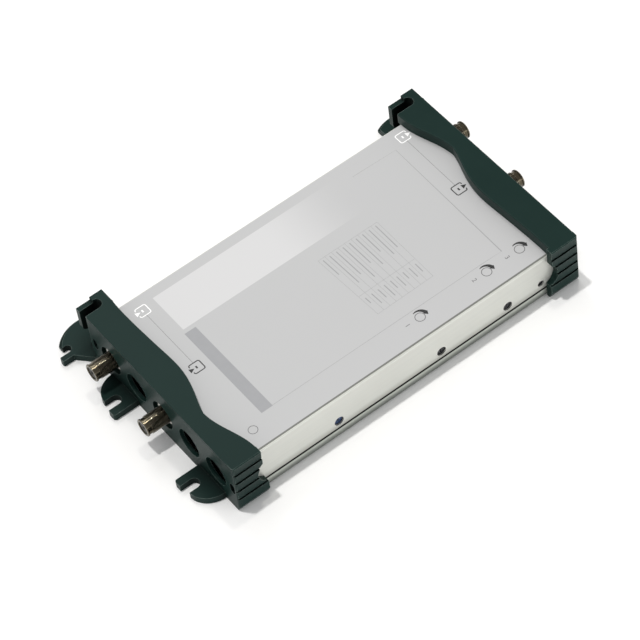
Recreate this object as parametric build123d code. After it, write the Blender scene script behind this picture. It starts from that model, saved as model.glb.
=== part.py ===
from build123d import *
import os

# A line amplifier for television signals: a flat box of folded sheet metal whose two ends sit in
# moulded caps. X runs along the box, Y across it with the presets at the front (negative Y), Z up.
# The origin is on the table under the middle of the metal box. All lengths are millimetres.

# Driving dimensions
overall_length = 205.0
box_width = 113.0
label_top = 27.9
cap_top = 34.0
sheet = 0.8
tray_sheet = 1.0
tray_fold = 1.6
label_film = 0.15
end_gap = 4.3
fit_gap = 0.15
seat_gap = 0.1
overrun = 3.0

# End cap: the moulding round each end of the box
cap_front_wall = 4.1
cap_back_wall = 1.3
cap_depth_front = 16.2
cap_depth_back = 15.4
cap_depth_foot = 17.5
cap_plate = 2.2
cap_floor = 2.3
cap_floor_depth = 14.0
cap_lip = 1.6
cap_edge_round = 0.45
cap_corner_round = 1.6
waist_depth = 9.3
waist_from_corner = 35.3
flare_run_shares = (0.10, 0.21, 0.66)
flare_rise_shares = (0.99, 0.94, 0.31)
waist_run_shares = (0.036, 0.122, 0.229, 0.368, 0.46)
waist_rise_shares = (0.18, 0.74, 1.16, 1.11, 1.02)
rib_pitch = 6.1
rib_first_drop = 6.0
rib_relief = 1.15
rib_lean = 0.55
rib_groove = 0.8
rib_count = 5
foot_bevel = 2.0
notch_top = 24.0
notch_bottom = 9.5
notch_depth = 3.3
edge_groove = 0.5
edge_groove_drop = 1.5

# Row of round ports in the outer face, and the two narrow pockets beside it
port_names = ("front", "second", "middle", "fourth", "back")
port_margin = 16.6
port_radius = 7.85
port_height = 15.7
pocket_width = 3.6
pocket_height = 7.0
pocket_margin = 3.6
pocket_depth = 6.0

# Hook arm and its slot at the back of each cap
slot_width = 6.0
slot_length = 11.1
arm_thickness = 2.8
arm_drop = 2.2
arm_bottom = 17.0
arm_round = 2.5

# Fixing lugs on the outer face
lug_thickness = 4.0
lug_reach = 14.2
lug_arm_width = 4.4
lug_slot_width = 5.8
lug_slot_depth = 9.0
lug_horn_reach = 12.8
lug_horn_width = 11.0
lug_tip_round = 1.2
lug_front_shift = 5.1
lug_back_shift = 1.7

# Corner ear behind the hook arm
ear_radius = 19.6
ear_centre_depth = 5.2
ear_centre_back = 5.0
ear_inner_depth = 14.5
ear_rim_width = 1.9
ear_rim_thickness = 1.7
ear_arm_front = 6.7
ear_arm_width = 3.0
ear_slot_width = 4.4
ear_slot_depth = 8.0
ear_web_reach = 8.0
ear_web_root = 2.2
ear_horn_reach = 9.9

# Folded cover and tray
cover_fold = 1.0
parting_height = 6.15
parting_gap = 0.7
tongue_height = 10.5
tongue_width = 0.85
joggle_height = 2.5
joggle_depth = 15.2

# Presets behind the front wall: place along X and radius of each hole in the cover
preset_height = 11.3
preset_place_shares = (-0.4765, 0.2447, 0.7212, 0.9624)
preset_hole_radii = (2.7, 2.7, 2.7, 1.9)
preset_width = 9.5
preset_depth = 4.8
preset_tall = 9.8
preset_gap = 0.3
rotor_radius = 2.3
rotor_thickness = 1.1
rotor_stem_radius = 1.0
rotor_stem_length = 2.4
rotor_running_gap = 0.06
rotor_slot_width = 0.6
rotor_slot_depth = 0.6
rotor_slot_share = 0.75

# Power lamp under the label
lamp_end_distance = 22.9
lamp_front_distance = 12.1
lamp_radius = 1.5
lamp_flange_radius = 1.9
lamp_flange = 1.0
lamp_body = 4.0
lamp_hole_radius = 1.7
lamp_drop = 0.3

# F sockets
socket_ports = ("middle", "back")
barrel_radius = 4.763
barrel_reach = 11.5
barrel_bore_radius = 3.5
barrel_neck = 0.45
barrel_neck_width = 2.1
barrel_rim = 0.9
barrel_chamfer = 0.35
barrel_relief = 0.25
barrel_relief_width = 0.7
socket_block_width = 12.4
socket_block_length = 9.6
insulator_recess = 0.5
insulator_length = 10.0
contact_radius = 1.0
contact_bore_radius = 0.55
contact_recess = 0.5
contact_length = 9.0
washer_radius = 6.6
washer_thickness = 0.6
nut_flats = 11.1
nut_thickness = 2.2

# Circuit board and what carries it
board_thickness = 1.6
board_rise = 3.7
board_gap_end = 1.7
board_gap_side = 1.4
post_flats = 5.0
post_bore_radius = 1.5
post_end_inset = 26.5
post_front_inset = 7.3
post_back_inset = 4.8
screw_radius = 1.45
screw_head_radius = 2.7
screw_head = 1.7
screw_length = 4.4
screw_gap = 0.05

# Screws that hold the cover and the caps
cover_screw_inset = 25.0
cover_screw_height = 9.0
cover_screw_radius = 1.2
cover_screw_length = 2.6
cap_screw_depth = 9.5
cap_screw_margin = 21.2
cap_screw_length = 4.2
cap_screw_head = 1.4

# Parts on the board: low corner and size of each block, centre and size of each round part
can_wall = 0.5
can_height = 14.0
can_size = (36.0, 42.0)
can_gap = 6.0
can_rib = 1.0
can_end_gap = 3.5
can_back_gap = 1.8
module_size = (44.0, 4.2, 16.0)
module_place = (0.0, 20.0)
module_pin_radius = 0.35
module_pin_count = 9
bracket_thickness = 2.5
bracket_length = 52.0
bracket_foot = 12.0
bracket_height = 18.0
regulator_place = (-4.0, -12.0)
regulator_size = (10.2, 4.5, 9.2)
regulator_tab = (10.2, 1.3, 15.6)
capacitor_places = ((26.0, -18.0), (38.0, -18.0), (50.0, -16.0))
capacitor_sizes = ((4.0, 11.0), (4.0, 11.0), (5.0, 15.0))
capacitor_groove = 0.3
capacitor_groove_rise = 1.6
choke_places = ((-30.0, -14.0), (-30.0, -2.0), (-18.0, -26.0))
choke_radius = 4.2
choke_waist_radius = 2.6
choke_flange = 1.0
choke_height = 6.5
chip_places = ((-58.0, -24.0), (-44.0, -24.0), (22.0, -4.0), (40.0, -4.0))
chip_size = (6.0, 5.0, 1.6)

# Places worked out from the sizes above
half_length = overall_length / 2
half_width = box_width / 2
box_end = half_length - end_gap
cap_front = -half_width - cap_front_wall
cap_back = half_width + cap_back_wall
cap_middle = (cap_front + cap_back) / 2
port_pitch = (cap_back - cap_front - port_margin * 2) / (len(port_names) - 1)
clear_half = half_length - cap_depth_foot
preset_places = [share * clear_half for share in preset_place_shares]
arm_front = cap_back + slot_width
arm_back = arm_front + arm_thickness
cover_top = label_top - label_film
lamp_x = lamp_end_distance - half_length
lamp_y = lamp_front_distance - half_width
cover_inner_top = cover_top - sheet
tray_floor = tray_sheet
end_floor = joggle_height
board_bottom = tray_floor + board_rise
board_top = board_bottom + board_thickness
board_half_x = box_end - board_gap_end
board_half_y = half_width - board_gap_side - sheet
cover_screw_places = [column * (clear_half - cover_screw_inset) for column in (-1, 0, 1)]
post_places = [
    (column * (board_half_x - post_end_inset), y)
    for y in (post_front_inset - board_half_y, board_half_y - post_back_inset)
    for column in (-1, 0, 1)
]
sides = {"left": -1, "right": 1}


def span(start, size):
    return (start, start + size)


def block(x, y, z):
    # A box between the low and high value of each axis, in either order
    centre = [(a + b) / 2 for a, b in (x, y, z)]
    return Pos(*centre) * Box(*[abs(b - a) for a, b in (x, y, z)])


def rod(start, direction, radius, length):
    place = Plane(origin=start, z_dir=direction)
    return place * Cylinder(radius, length, align=(Align.CENTER, Align.CENTER, Align.MIN))


def hex_rod(start, direction, flats, length):
    place = Plane(origin=start, z_dir=direction)
    outline = RegularPolygon(flats / 2, 6, major_radius=False)
    return place * extrude(outline, length)


def prism(points, base, direction, length):
    # Extrudes a closed outline of 3-D points
    outline = make_face(Polyline(*points, close=True))
    return extrude(outline, length, dir=direction)


def port_y(name):
    return cap_front + port_margin + port_names.index(name) * port_pitch


# End caps

def cap_x(side, depth):
    # X at a depth inward from the outer face of one cap
    return side * (half_length - depth)


def waist_curve(side, inset):
    # The inner edge of the top plate: a flare from one corner to a sharp waist, then a long soft curve
    corner = cap_front if side < 0 else cap_back
    far = cap_back if side < 0 else cap_front
    step = abs(far - corner)
    toward = 1 if far > corner else -1
    near_depth = cap_depth_front - inset
    far_depth = cap_depth_back - inset
    rise = far_depth - (waist_depth - inset)
    waist_y = corner + toward * waist_from_corner
    start = (cap_x(side, near_depth), corner)
    waist = (cap_x(side, waist_depth - inset), waist_y)
    flare_rise = cap_depth_front - waist_depth
    flare = [
        (cap_x(side, waist_depth - inset + up * flare_rise), corner + toward * along * waist_from_corner)
        for along, up in zip(flare_run_shares, flare_rise_shares)
    ]
    through = [
        (cap_x(side, waist_depth - inset + up * rise), waist_y + toward * along * step)
        for along, up in zip(waist_run_shares, waist_rise_shares)
    ]
    end = (cap_x(side, far_depth), far)
    return [Spline(start, *flare, waist), Spline(waist, *through, end)], start, end


def plate_outline(side, inset):
    # The top plate up to the back wall, with its inner edge moved outward by the inset
    edges, start, end = waist_curve(side, inset)
    outer_start = (cap_x(side, 0), start[1])
    outer_end = (cap_x(side, 0), end[1])
    rest = Polyline(end, outer_end, outer_start, start)
    return make_face(edges + [rest])


def rib_profile():
    # Section of the ribbed front wall: five bands, each fullest at its upper edge, with a groove between
    inner = -half_width - fit_gap
    points = [(cap_front + cap_edge_round, cap_top), (cap_front, cap_top - cap_edge_round)]
    for band in range(rib_count - 1):
        groove = cap_top - rib_first_drop - band * rib_pitch
        points.append((cap_front + rib_lean, groove + rib_groove / 2))
        points.append((cap_front + rib_relief, groove + rib_groove / 2))
        points.append((cap_front + rib_relief, groove - rib_groove / 2))
        points.append((cap_front, groove - rib_groove / 2))
    points.append((cap_front, foot_bevel * 2))
    points.append((cap_front + foot_bevel, 0))
    points += [(inner, 0), (inner, cap_top)]
    return points


def rib_wall(side):
    outer = cap_x(side, 0)
    wall = prism([(outer, y, z) for y, z in rib_profile()], None, (-side, 0, 0), cap_depth_foot)
    plan = block((outer, cap_x(side, cap_depth_foot)), (cap_front, cap_front + cap_front_wall), (0, cap_top))
    corner = plan.edges().filter_by(Axis.Z).group_by(Axis.Y)[0].sort_by(Axis.X)[-1 if side > 0 else 0]
    return wall & fillet(corner, cap_corner_round)


def front_edge_cut(side):
    # What is taken off the inner end of the ribbed wall: an arched notch above a longer foot
    middle = (notch_top + notch_bottom) / 2
    far = cap_depth_foot + overrun
    top = cap_top + overrun
    arch = ThreePointArc(
        (cap_x(side, cap_depth_front), notch_top),
        (cap_x(side, cap_depth_front - notch_depth), middle),
        (cap_x(side, cap_depth_foot), notch_bottom),
    )
    rest = Polyline(
        (cap_x(side, cap_depth_foot), notch_bottom),
        (cap_x(side, far), notch_bottom),
        (cap_x(side, far), top),
        (cap_x(side, cap_depth_front), top),
        (cap_x(side, cap_depth_front), notch_top),
    )
    face = Plane.XZ * make_face([arch, rest])
    return Pos(0, cap_front - overrun, 0) * extrude(face, cap_front_wall + overrun * 2, dir=(0, 1, 0))


def lug(side, start_y, toward):
    # A plate with a slot open outward, a straight arm on one side and a curved horn on the other
    outer = cap_x(side, 0)
    slot_near = start_y + toward * lug_arm_width
    slot_far = slot_near + toward * lug_slot_width
    slot_mid = (slot_near + slot_far) / 2
    horn_end = slot_far + toward * lug_horn_width
    arm = block((outer, cap_x(side, -lug_reach)), (start_y, slot_near + toward * lug_slot_width / 2),
                (0, lug_thickness))
    tips = arm.edges().filter_by(Axis.Z).group_by(Axis.X)[-1 if side > 0 else 0]
    arm = fillet(tips, lug_tip_round)
    horn = Ellipse(lug_horn_reach, lug_horn_width)
    quarter = Rectangle(lug_horn_reach + overrun, lug_horn_width + overrun, align=(Align.MIN, Align.MIN))
    horn = extrude(horn & quarter, lug_thickness)
    horn = Pos(outer, slot_far, 0) * (horn if side > 0 else mirror(horn, Plane.YZ))
    if toward < 0:
        horn = mirror(horn, Plane.XZ.offset(-slot_far))
    bridge = block((outer, cap_x(side, -lug_horn_reach)), (slot_mid, slot_far), (0, lug_thickness))
    slot_radius = lug_slot_width / 2
    slot_x = cap_x(side, -(lug_reach - lug_slot_depth + slot_radius))
    slot_end = rod((slot_x, slot_mid, -overrun), (0, 0, 1), slot_radius, lug_thickness + overrun * 2)
    slot = block((slot_x, cap_x(side, -lug_reach - overrun)), (slot_near, slot_far),
                 (-overrun, lug_thickness + overrun))
    root = block((outer, cap_x(side, tray_sheet)), (start_y, horn_end), (0, lug_thickness))
    return arm + horn + bridge + root - slot - slot_end


def ear(side):
    # The corner ear: a round plate with a thinner rim, a slot open outward and a straight arm
    centre = (cap_x(side, ear_centre_depth), cap_back + ear_centre_back)
    arm_near = cap_back + ear_arm_front
    slot_near = arm_near + ear_arm_width
    slot_far = slot_near + ear_slot_width
    slot_mid = (slot_near + slot_far) / 2
    tall = (0, lug_thickness)
    disc = rod((*centre, 0), (0, 0, 1), ear_radius - ear_rim_width, lug_thickness)
    rim = rod((*centre, 0), (0, 0, 1), ear_radius, ear_rim_thickness)
    keep_x = (cap_x(side, ear_inner_depth), cap_x(side, -ear_horn_reach))
    keep = block(keep_x, (cap_back, centre[1] + ear_radius + overrun), tall)
    round_part = (disc + rim) & keep
    front_cut = block((cap_x(side, 0), cap_x(side, -lug_reach * 2)), (cap_back - overrun, slot_mid), (-overrun, lug_thickness + overrun))
    round_part = round_part - front_cut
    arm = block((cap_x(side, 0), cap_x(side, -lug_reach)), (arm_near, slot_near), tall)
    tips = arm.edges().filter_by(Axis.Z).group_by(Axis.X)[-1 if side > 0 else 0]
    arm = fillet(tips, lug_tip_round / 2)
    web = prism(
        [
            (cap_x(side, 0), cap_back - ear_web_root, 0),
            (cap_x(side, -ear_web_root), cap_back, 0),
            (cap_x(side, -ear_web_reach), arm_near, 0),
            (cap_x(side, -ear_web_reach), slot_far, 0),
            (cap_x(side, 0), slot_far, 0),
        ],
        None, (0, 0, 1), lug_thickness,
    )
    slot_radius = ear_slot_width / 2
    slot_x = cap_x(side, -(lug_reach - ear_slot_depth + slot_radius))
    slot_end = rod((slot_x, slot_mid, -overrun), (0, 0, 1), slot_radius, lug_thickness + overrun * 2)
    slot = block((slot_x, cap_x(side, -lug_reach - overrun)), (slot_near, slot_far),
                 (-overrun, lug_thickness + overrun))
    return round_part + arm + web - slot - slot_end


def hook(side):
    # The arm behind the back wall: it springs from the inner end on the left cap, from the outer
    # end on the right one, so both slots open towards the same end of the amplifier
    if side < 0:
        tip, slot_end, root_end = 0, slot_length, cap_depth_back
    else:
        tip, slot_end, root_end = cap_depth_back, cap_depth_back - slot_length, 0
    radius = slot_width / 2
    toward_tip = 1 if tip > slot_end else -1
    root = block((cap_x(side, slot_end + toward_tip * radius), cap_x(side, root_end)),
                 (cap_back - cap_back_wall / 2, arm_back), (0, cap_top))
    rims = root.edges().group_by(Axis.Z)[-1].sort_by(Axis.Y)
    root = fillet(rims[1:], cap_edge_round)
    cut = rod((cap_x(side, slot_end + toward_tip * radius), cap_back + radius, lug_thickness),
              (0, 0, 1), radius, cap_top)
    arm = block((cap_x(side, tip), cap_x(side, slot_end + toward_tip * radius)),
                (arm_front, arm_back), (arm_bottom, cap_top - arm_drop))
    low = arm.edges().filter_by(Axis.Y).group_by(Axis.Z)[0]
    tip_edge = low.sort_by(Axis.X)[0 if side * (tip - slot_end) > 0 else -1]
    arm = fillet(tip_edge, arm_round)
    return root - cut + arm


def behind_ribs(side, shape):
    # The shape without the strip that the ribs take at the front
    x = (cap_x(side, -overrun), cap_x(side, cap_depth_foot))
    return shape - block(x, (cap_front - overrun, cap_front + rib_relief * 2), (0, cap_top + overrun))


def top_plate(side):
    # The plate over the end of the box, with its upper edges rounded, but not where the hook joins it
    plate = Pos(0, 0, cap_top - cap_plate) * extrude(plate_outline(side, 0), cap_plate)
    rims = plate.faces().sort_by(Axis.Z)[-1].edges().sort_by(Axis.Y)
    plate = fillet(rims[:-1], cap_edge_round)
    return behind_ribs(side, plate)


def end_cap(side):
    outer = cap_x(side, 0)
    inner_back = half_width + fit_gap
    plate = top_plate(side)
    lip_low = label_top + seat_gap
    lip_height = cap_top - cap_plate - lip_low
    lip = extrude(plate_outline(side, 0) - plate_outline(side, cap_lip), lip_height)
    lip = behind_ribs(side, Pos(0, 0, lip_low) * lip)
    end_plate = block((outer, cap_x(side, cap_plate)), (cap_front + rib_relief * 2, cap_back),
                      (0, cap_top - cap_plate / 2))
    floor = block((outer, cap_x(side, cap_floor_depth)), (cap_front + foot_bevel, cap_back), (0, cap_floor))
    back = block((outer, cap_x(side, cap_depth_back)), (inner_back, cap_back), (0, cap_top))
    front = rib_wall(side) - front_edge_cut(side)
    cap = plate + lip + end_plate + floor + back + front + hook(side) + ear(side)
    cap += lug(side, port_y("second") - lug_front_shift, -1)
    cap += lug(side, port_y("fourth") + lug_back_shift, 1)
    for port in port_names:
        cap -= rod((cap_x(side, -overrun), port_y(port), port_height), (-side, 0, 0), port_radius,
                   cap_plate + overrun * 2)
    for y in (cap_front + pocket_margin, cap_back - pocket_margin):
        cap -= pocket(side, y)
    for y in cap_screw_rows():
        cap -= cap_screw(side, y, screw_gap)
    return cap - edge_line(side)


def pocket(side, y):
    radius = pocket_width / 2
    half = pocket_height / 2 - radius
    x = (cap_x(side, -overrun), cap_x(side, pocket_depth))
    body = block(x, (y - radius, y + radius), (port_height - half, port_height + half))
    for z in (port_height - half, port_height + half):
        body += rod((x[0], y, z), (-side, 0, 0), radius, pocket_depth + overrun)
    return body


def edge_line(side):
    # The fine groove under the top plate, along the outer face
    z = cap_top - edge_groove_drop
    outer = cap_x(side, 0)
    points = [
        (outer + side * edge_groove, cap_front - overrun, z + edge_groove),
        (cap_x(side, edge_groove), cap_front - overrun, z),
        (outer + side * edge_groove, cap_front - overrun, z - edge_groove),
    ]
    return prism(points, None, (0, 1, 0), cap_back - cap_front + overrun)


# Cover, tray and label

def top_cover():
    length = box_end * 2
    low = parting_height + parting_gap
    outer = block((-box_end, box_end), (-half_width, half_width), (low, cover_top))
    folds = outer.edges().filter_by(Axis.X).group_by(Axis.Z)[-1]
    outer = fillet(folds, cover_fold)
    inner = block((-box_end - overrun, box_end + overrun), (-half_width + sheet, half_width - sheet),
                  (low - overrun, cover_inner_top))
    folds = inner.edges().filter_by(Axis.X).group_by(Axis.Z)[-1]
    inner = fillet(folds, cover_fold - sheet)
    cover = outer - inner
    for x, radius in zip(preset_places, preset_hole_radii):
        cover -= rod((x, -half_width - overrun, preset_height), (0, 1, 0), radius, sheet + overrun * 2)
    cover -= rod((lamp_x, lamp_y, cover_inner_top - overrun), (0, 0, 1), lamp_hole_radius,
                 sheet + overrun + label_film)
    for x in cover_screw_places:
        cover -= rod((x, half_width + overrun, cover_screw_height), (0, -1, 0),
                     cover_screw_radius + fit_gap, sheet + overrun * 2)
    return cover


def label_sheet():
    inset = cover_fold - seat_gap
    return block((-box_end + inset, box_end - inset), (-half_width + inset, half_width - inset),
                 (cover_top, label_top))


def base_tray():
    inner_y = half_width - tray_sheet
    step_x = half_length - joggle_depth
    trough = block((-step_x, step_x), (-half_width, half_width), (0, parting_height))
    trough = fillet(trough.edges().filter_by(Axis.X).group_by(Axis.Z)[0], tray_fold)
    hollow = block((-box_end, box_end), (-inner_y, inner_y), (tray_floor, parting_height + overrun))
    hollow = fillet(hollow.edges().filter_by(Axis.X).group_by(Axis.Z)[0], tray_fold - tray_sheet)
    tray = trough - hollow
    for toward in (-1, 1):
        tray += block((-box_end, box_end), (toward * inner_y, toward * half_width), (end_floor, parting_height))
    for side in sides.values():
        tray += block((side * (step_x - tray_sheet), side * box_end), (-half_width, half_width),
                      (end_floor, end_floor + tray_sheet))
        tray += block((side * (step_x - tray_sheet), side * step_x), (-half_width, half_width),
                      (0, end_floor + tray_sheet))
        wall_y = half_width - sheet - seat_gap
        tray += block((side * (box_end - tray_sheet), side * box_end), (-wall_y, wall_y),
                      (end_floor, cover_inner_top - seat_gap))
        for port in socket_ports:
            tray -= rod((side * (box_end + overrun), port_y(port), port_height), (-side, 0, 0),
                        barrel_radius + fit_gap, tray_sheet + overrun * 2)
        for y in cap_screw_rows():
            tray -= rod((cap_x(side, cap_screw_depth), y, 0), (0, 0, 1),
                        screw_radius + screw_gap, end_floor + tray_sheet + overrun)
    return tray + tongues()


def tongues():
    # Strips inside the joint with the cover: whole at the back, broken at the front by the presets
    outer_y = half_width - sheet - seat_gap
    inner_y = outer_y - tongue_width
    reach = half_length - joggle_depth
    clear = preset_width / 2 + tray_sheet
    back = block((-reach, reach), (inner_y, outer_y), (tray_floor, tongue_height))
    for x in cover_screw_places:
        back -= rod((x, outer_y + overrun, cover_screw_height), (0, -1, 0),
                    cover_screw_radius + screw_gap, tongue_width + overrun * 2)
    starts = [-reach] + [x + clear for x in preset_places[:-1]]
    ends = [x - clear for x in preset_places]
    strips = back
    for low, high in zip(starts, ends):
        strips += block((low, high), (-outer_y, -inner_y), (tray_floor, tongue_height))
    return strips


# Screws

def pan_screw(start, direction, radius, length):
    # A pan head above the start point and a shank along the direction
    back = [-value for value in direction]
    head = rod(start, back, screw_head_radius, screw_head)
    head = fillet(head.edges().sort_by(Axis(start, tuple(back)))[-1], screw_head / 2)
    recess = rod(tuple(s + b * screw_head / 2 for s, b in zip(start, back)), back, screw_radius / 2, screw_head)
    return head - recess + rod(start, direction, radius, length)


def cap_screw_rows():
    return (cap_front + cap_screw_margin, cap_back - cap_screw_margin)


def cap_screw(side, y, gap):
    x = cap_x(side, cap_screw_depth)
    shank = rod((x, y, 0), (0, 0, 1), screw_radius + gap, cap_screw_length + gap)
    cone = Pos(x, y, cap_screw_head / 2) * Cone(screw_head_radius + gap, screw_radius + gap, cap_screw_head)
    return shank + cone


def screws(points, direction, radius, length):
    return Compound(children=[pan_screw(point, direction, radius, length) for point in points])


# Circuit board and what it carries

def board_posts():
    posts = []
    for x, y in post_places:
        post = hex_rod((x, y, tray_floor), (0, 0, 1), post_flats, board_rise)
        posts.append(post - rod((x, y, tray_floor), (0, 0, 1), post_bore_radius, board_rise + overrun))
    return Compound(children=posts)


def circuit_board():
    board = block((-board_half_x, board_half_x), (-board_half_y, board_half_y), (board_bottom, board_top))
    for place in post_places:
        board -= rod((*place, board_bottom - overrun), (0, 0, 1), post_bore_radius + screw_gap,
                     board_thickness + overrun * 2)
    return board


def shield_can(side):
    # A soldered can with a pressed rib across its lid, between the sockets and the middle of the board
    size_x, size_y = can_size
    x = side * (box_end - tray_sheet - seat_gap - socket_block_length - can_end_gap - size_x / 2)
    y = board_half_y - post_back_inset - screw_head_radius - can_back_gap - size_y / 2
    outer = block((x - size_x / 2, x + size_x / 2), (y - size_y / 2, y + size_y / 2), span(board_top, can_height))
    inner = block((x - size_x / 2 + can_wall, x + size_x / 2 - can_wall),
                  (y - size_y / 2 + can_wall, y + size_y / 2 - can_wall),
                  (board_top - overrun, board_top + can_height - can_wall))
    rib = block((x - can_rib, x + can_rib), (y - size_y / 2 + can_gap, y + size_y / 2 - can_gap),
                span(board_top + can_height, can_wall))
    return outer - inner + rib


def amplifier_module():
    x, y = module_place
    size_x, size_y, size_z = module_size
    lift = can_wall * 4
    body = block((x - size_x / 2, x + size_x / 2), (y - size_y, y), span(board_top + lift, size_z - lift))
    pitch = size_x / (module_pin_count + 1)
    for pin in range(module_pin_count):
        body += rod((x + (pin - (module_pin_count - 1) / 2) * pitch, y - size_y / 2, board_top), (0, 0, 1),
                    module_pin_radius, lift + module_pin_radius)
    return body


def heat_bracket():
    x, y = module_place
    span_x = (x - bracket_length / 2, x + bracket_length / 2)
    upright = block(span_x, (y, y + bracket_thickness), span(board_top, bracket_height))
    foot = block(span_x, (y, y + bracket_foot), span(board_top, bracket_thickness))
    return upright + foot


def voltage_regulator():
    x, y = regulator_place
    body = block((x - regulator_size[0] / 2, x + regulator_size[0] / 2), (y - regulator_size[1], y),
                 span(board_top, regulator_size[2]))
    tab = block((x - regulator_tab[0] / 2, x + regulator_tab[0] / 2), (y, y + regulator_tab[1]),
                span(board_top, regulator_tab[2]))
    hole_z = board_top + regulator_tab[2] - regulator_size[1] / 2 - tray_sheet
    hole = rod((x, y - overrun, hole_z), (0, 1, 0), post_bore_radius, regulator_tab[1] + overrun * 2)
    return body + tab - hole


def filter_capacitors():
    cans = []
    for (x, y), (radius, height) in zip(capacitor_places, capacitor_sizes):
        can = rod((x, y, board_top), (0, 0, 1), radius, height)
        can = fillet(can.edges().sort_by(Axis.Z)[-1], capacitor_groove)
        neck = rod((x, y, board_top + capacitor_groove_rise), (0, 0, 1), radius + overrun, capacitor_groove)
        core = rod((x, y, board_top), (0, 0, 1), radius - capacitor_groove, height)
        cans.append(can - (neck - core))
    return Compound(children=cans)


def chokes():
    bobbins = []
    for x, y in choke_places:
        bobbin = rod((x, y, board_top), (0, 0, 1), choke_waist_radius, choke_height)
        for z in (board_top, board_top + choke_height - choke_flange):
            bobbin += rod((x, y, z), (0, 0, 1), choke_radius, choke_flange)
        bobbins.append(bobbin)
    return Compound(children=bobbins)


def signal_chips():
    chips = []
    for x, y in chip_places:
        chips.append(block((x - chip_size[0] / 2, x + chip_size[0] / 2), (y - chip_size[1] / 2, y + chip_size[1] / 2),
                           span(board_top, chip_size[2])))
    return Compound(children=chips)


# Presets: a square housing with a slotted rotor that turns about Y

def preset_face():
    return -half_width + sheet + preset_gap


def preset_housing(x):
    face = preset_face()
    body = block((x - preset_width / 2, x + preset_width / 2), (face, face + preset_depth),
                 (board_top, board_top + preset_tall))
    dish = rotor_radius + rotor_running_gap
    stem = rotor_stem_radius + rotor_running_gap
    body -= rod((x, face - overrun, preset_height), (0, 1, 0), dish, overrun + rotor_thickness + rotor_running_gap)
    return body - rod((x, face, preset_height), (0, 1, 0), stem, rotor_thickness + rotor_stem_length + rotor_running_gap)


def preset_rotor(x):
    face = preset_face()
    disc = rod((x, face, preset_height), (0, 1, 0), rotor_radius, rotor_thickness)
    disc += rod((x, face, preset_height), (0, 1, 0), rotor_stem_radius, rotor_thickness + rotor_stem_length)
    reach = rotor_radius * rotor_slot_share
    slot = (face - overrun, face + rotor_slot_depth)
    half = rotor_slot_width / 2
    disc -= block((x - half, x + half), slot, (preset_height - reach, preset_height + reach))
    return disc - block((x - reach / 2, x + reach / 2), slot, (preset_height - half, preset_height + half))


# Power lamp

def power_lamp():
    top = label_top - label_film - lamp_drop
    body = rod((lamp_x, lamp_y, top - lamp_radius - lamp_body), (0, 0, 1), lamp_radius, lamp_body)
    body += rod((lamp_x, lamp_y, top - lamp_radius - lamp_body), (0, 0, 1), lamp_flange_radius, lamp_flange)
    return body + Pos(lamp_x, lamp_y, top - lamp_radius) * Sphere(lamp_radius)


def lamp_spacer():
    top = label_top - label_film - lamp_drop - lamp_radius - lamp_body
    tube = rod((lamp_x, lamp_y, board_top), (0, 0, 1), lamp_flange_radius, top - board_top)
    return tube - rod((lamp_x, lamp_y, board_top), (0, 0, 1), lamp_radius / 2, top - board_top)


# F sockets

def ring_cut(side, start, y, depth, width):
    # A ring taken off the barrel, as deep as given
    whole = rod((side * start, y, port_height), (side, 0, 0), barrel_radius + overrun, width)
    return whole - rod((side * start, y, port_height), (side, 0, 0), barrel_radius - depth, width)


def socket_shell(side, y):
    tip = half_length + barrel_reach
    inner = box_end - tray_sheet - seat_gap
    barrel = rod((side * inner, y, port_height), (side, 0, 0), barrel_radius, tip - inner)
    barrel = chamfer(barrel.edges().sort_by(Axis.X)[-1 if side > 0 else 0], barrel_chamfer)
    neck = ring_cut(side, tip - barrel_rim - barrel_neck_width, y, barrel_neck, barrel_neck_width)
    relief = ring_cut(side, box_end + washer_thickness + nut_thickness, y, barrel_relief, barrel_relief_width)
    half = socket_block_width / 2
    body = block((side * inner, side * (inner - socket_block_length)), (y - half, y + half),
                 (board_top, port_height + half))
    bore = rod((side * (tip + overrun), y, port_height), (-side, 0, 0), barrel_bore_radius,
               insulator_recess + insulator_length + overrun)
    return barrel - neck - relief + body - bore


def socket_insulator(side, y):
    tip = half_length + barrel_reach - insulator_recess
    disc = rod((side * tip, y, port_height), (-side, 0, 0), barrel_bore_radius - screw_gap, insulator_length)
    return disc - rod((side * (tip + overrun), y, port_height), (-side, 0, 0), contact_radius + screw_gap,
                      overrun + contact_recess + contact_length)


def socket_contact(side, y):
    tip = half_length + barrel_reach - insulator_recess - contact_recess
    sleeve = rod((side * tip, y, port_height), (-side, 0, 0), contact_radius, contact_length)
    return sleeve - rod((side * (tip + overrun), y, port_height), (-side, 0, 0), contact_bore_radius,
                        contact_length / 2 + overrun)


def socket_washers():
    rings = []
    for side in sides.values():
        for port in socket_ports:
            ring = rod((side * box_end, port_y(port), port_height), (side, 0, 0), washer_radius, washer_thickness)
            rings.append(ring - rod((side * (box_end - overrun), port_y(port), port_height), (side, 0, 0),
                                    barrel_radius + screw_gap, overrun * 2 + washer_thickness))
    return Compound(children=rings)


def socket_nuts():
    nuts = []
    start = box_end + washer_thickness
    for side in sides.values():
        for port in socket_ports:
            nut = hex_rod((side * start, port_y(port), port_height), (side, 0, 0), nut_flats, nut_thickness)
            nuts.append(nut - rod((side * (start - overrun), port_y(port), port_height), (side, 0, 0),
                                  barrel_radius + screw_gap, overrun * 2 + nut_thickness))
    return Compound(children=nuts)


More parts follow.
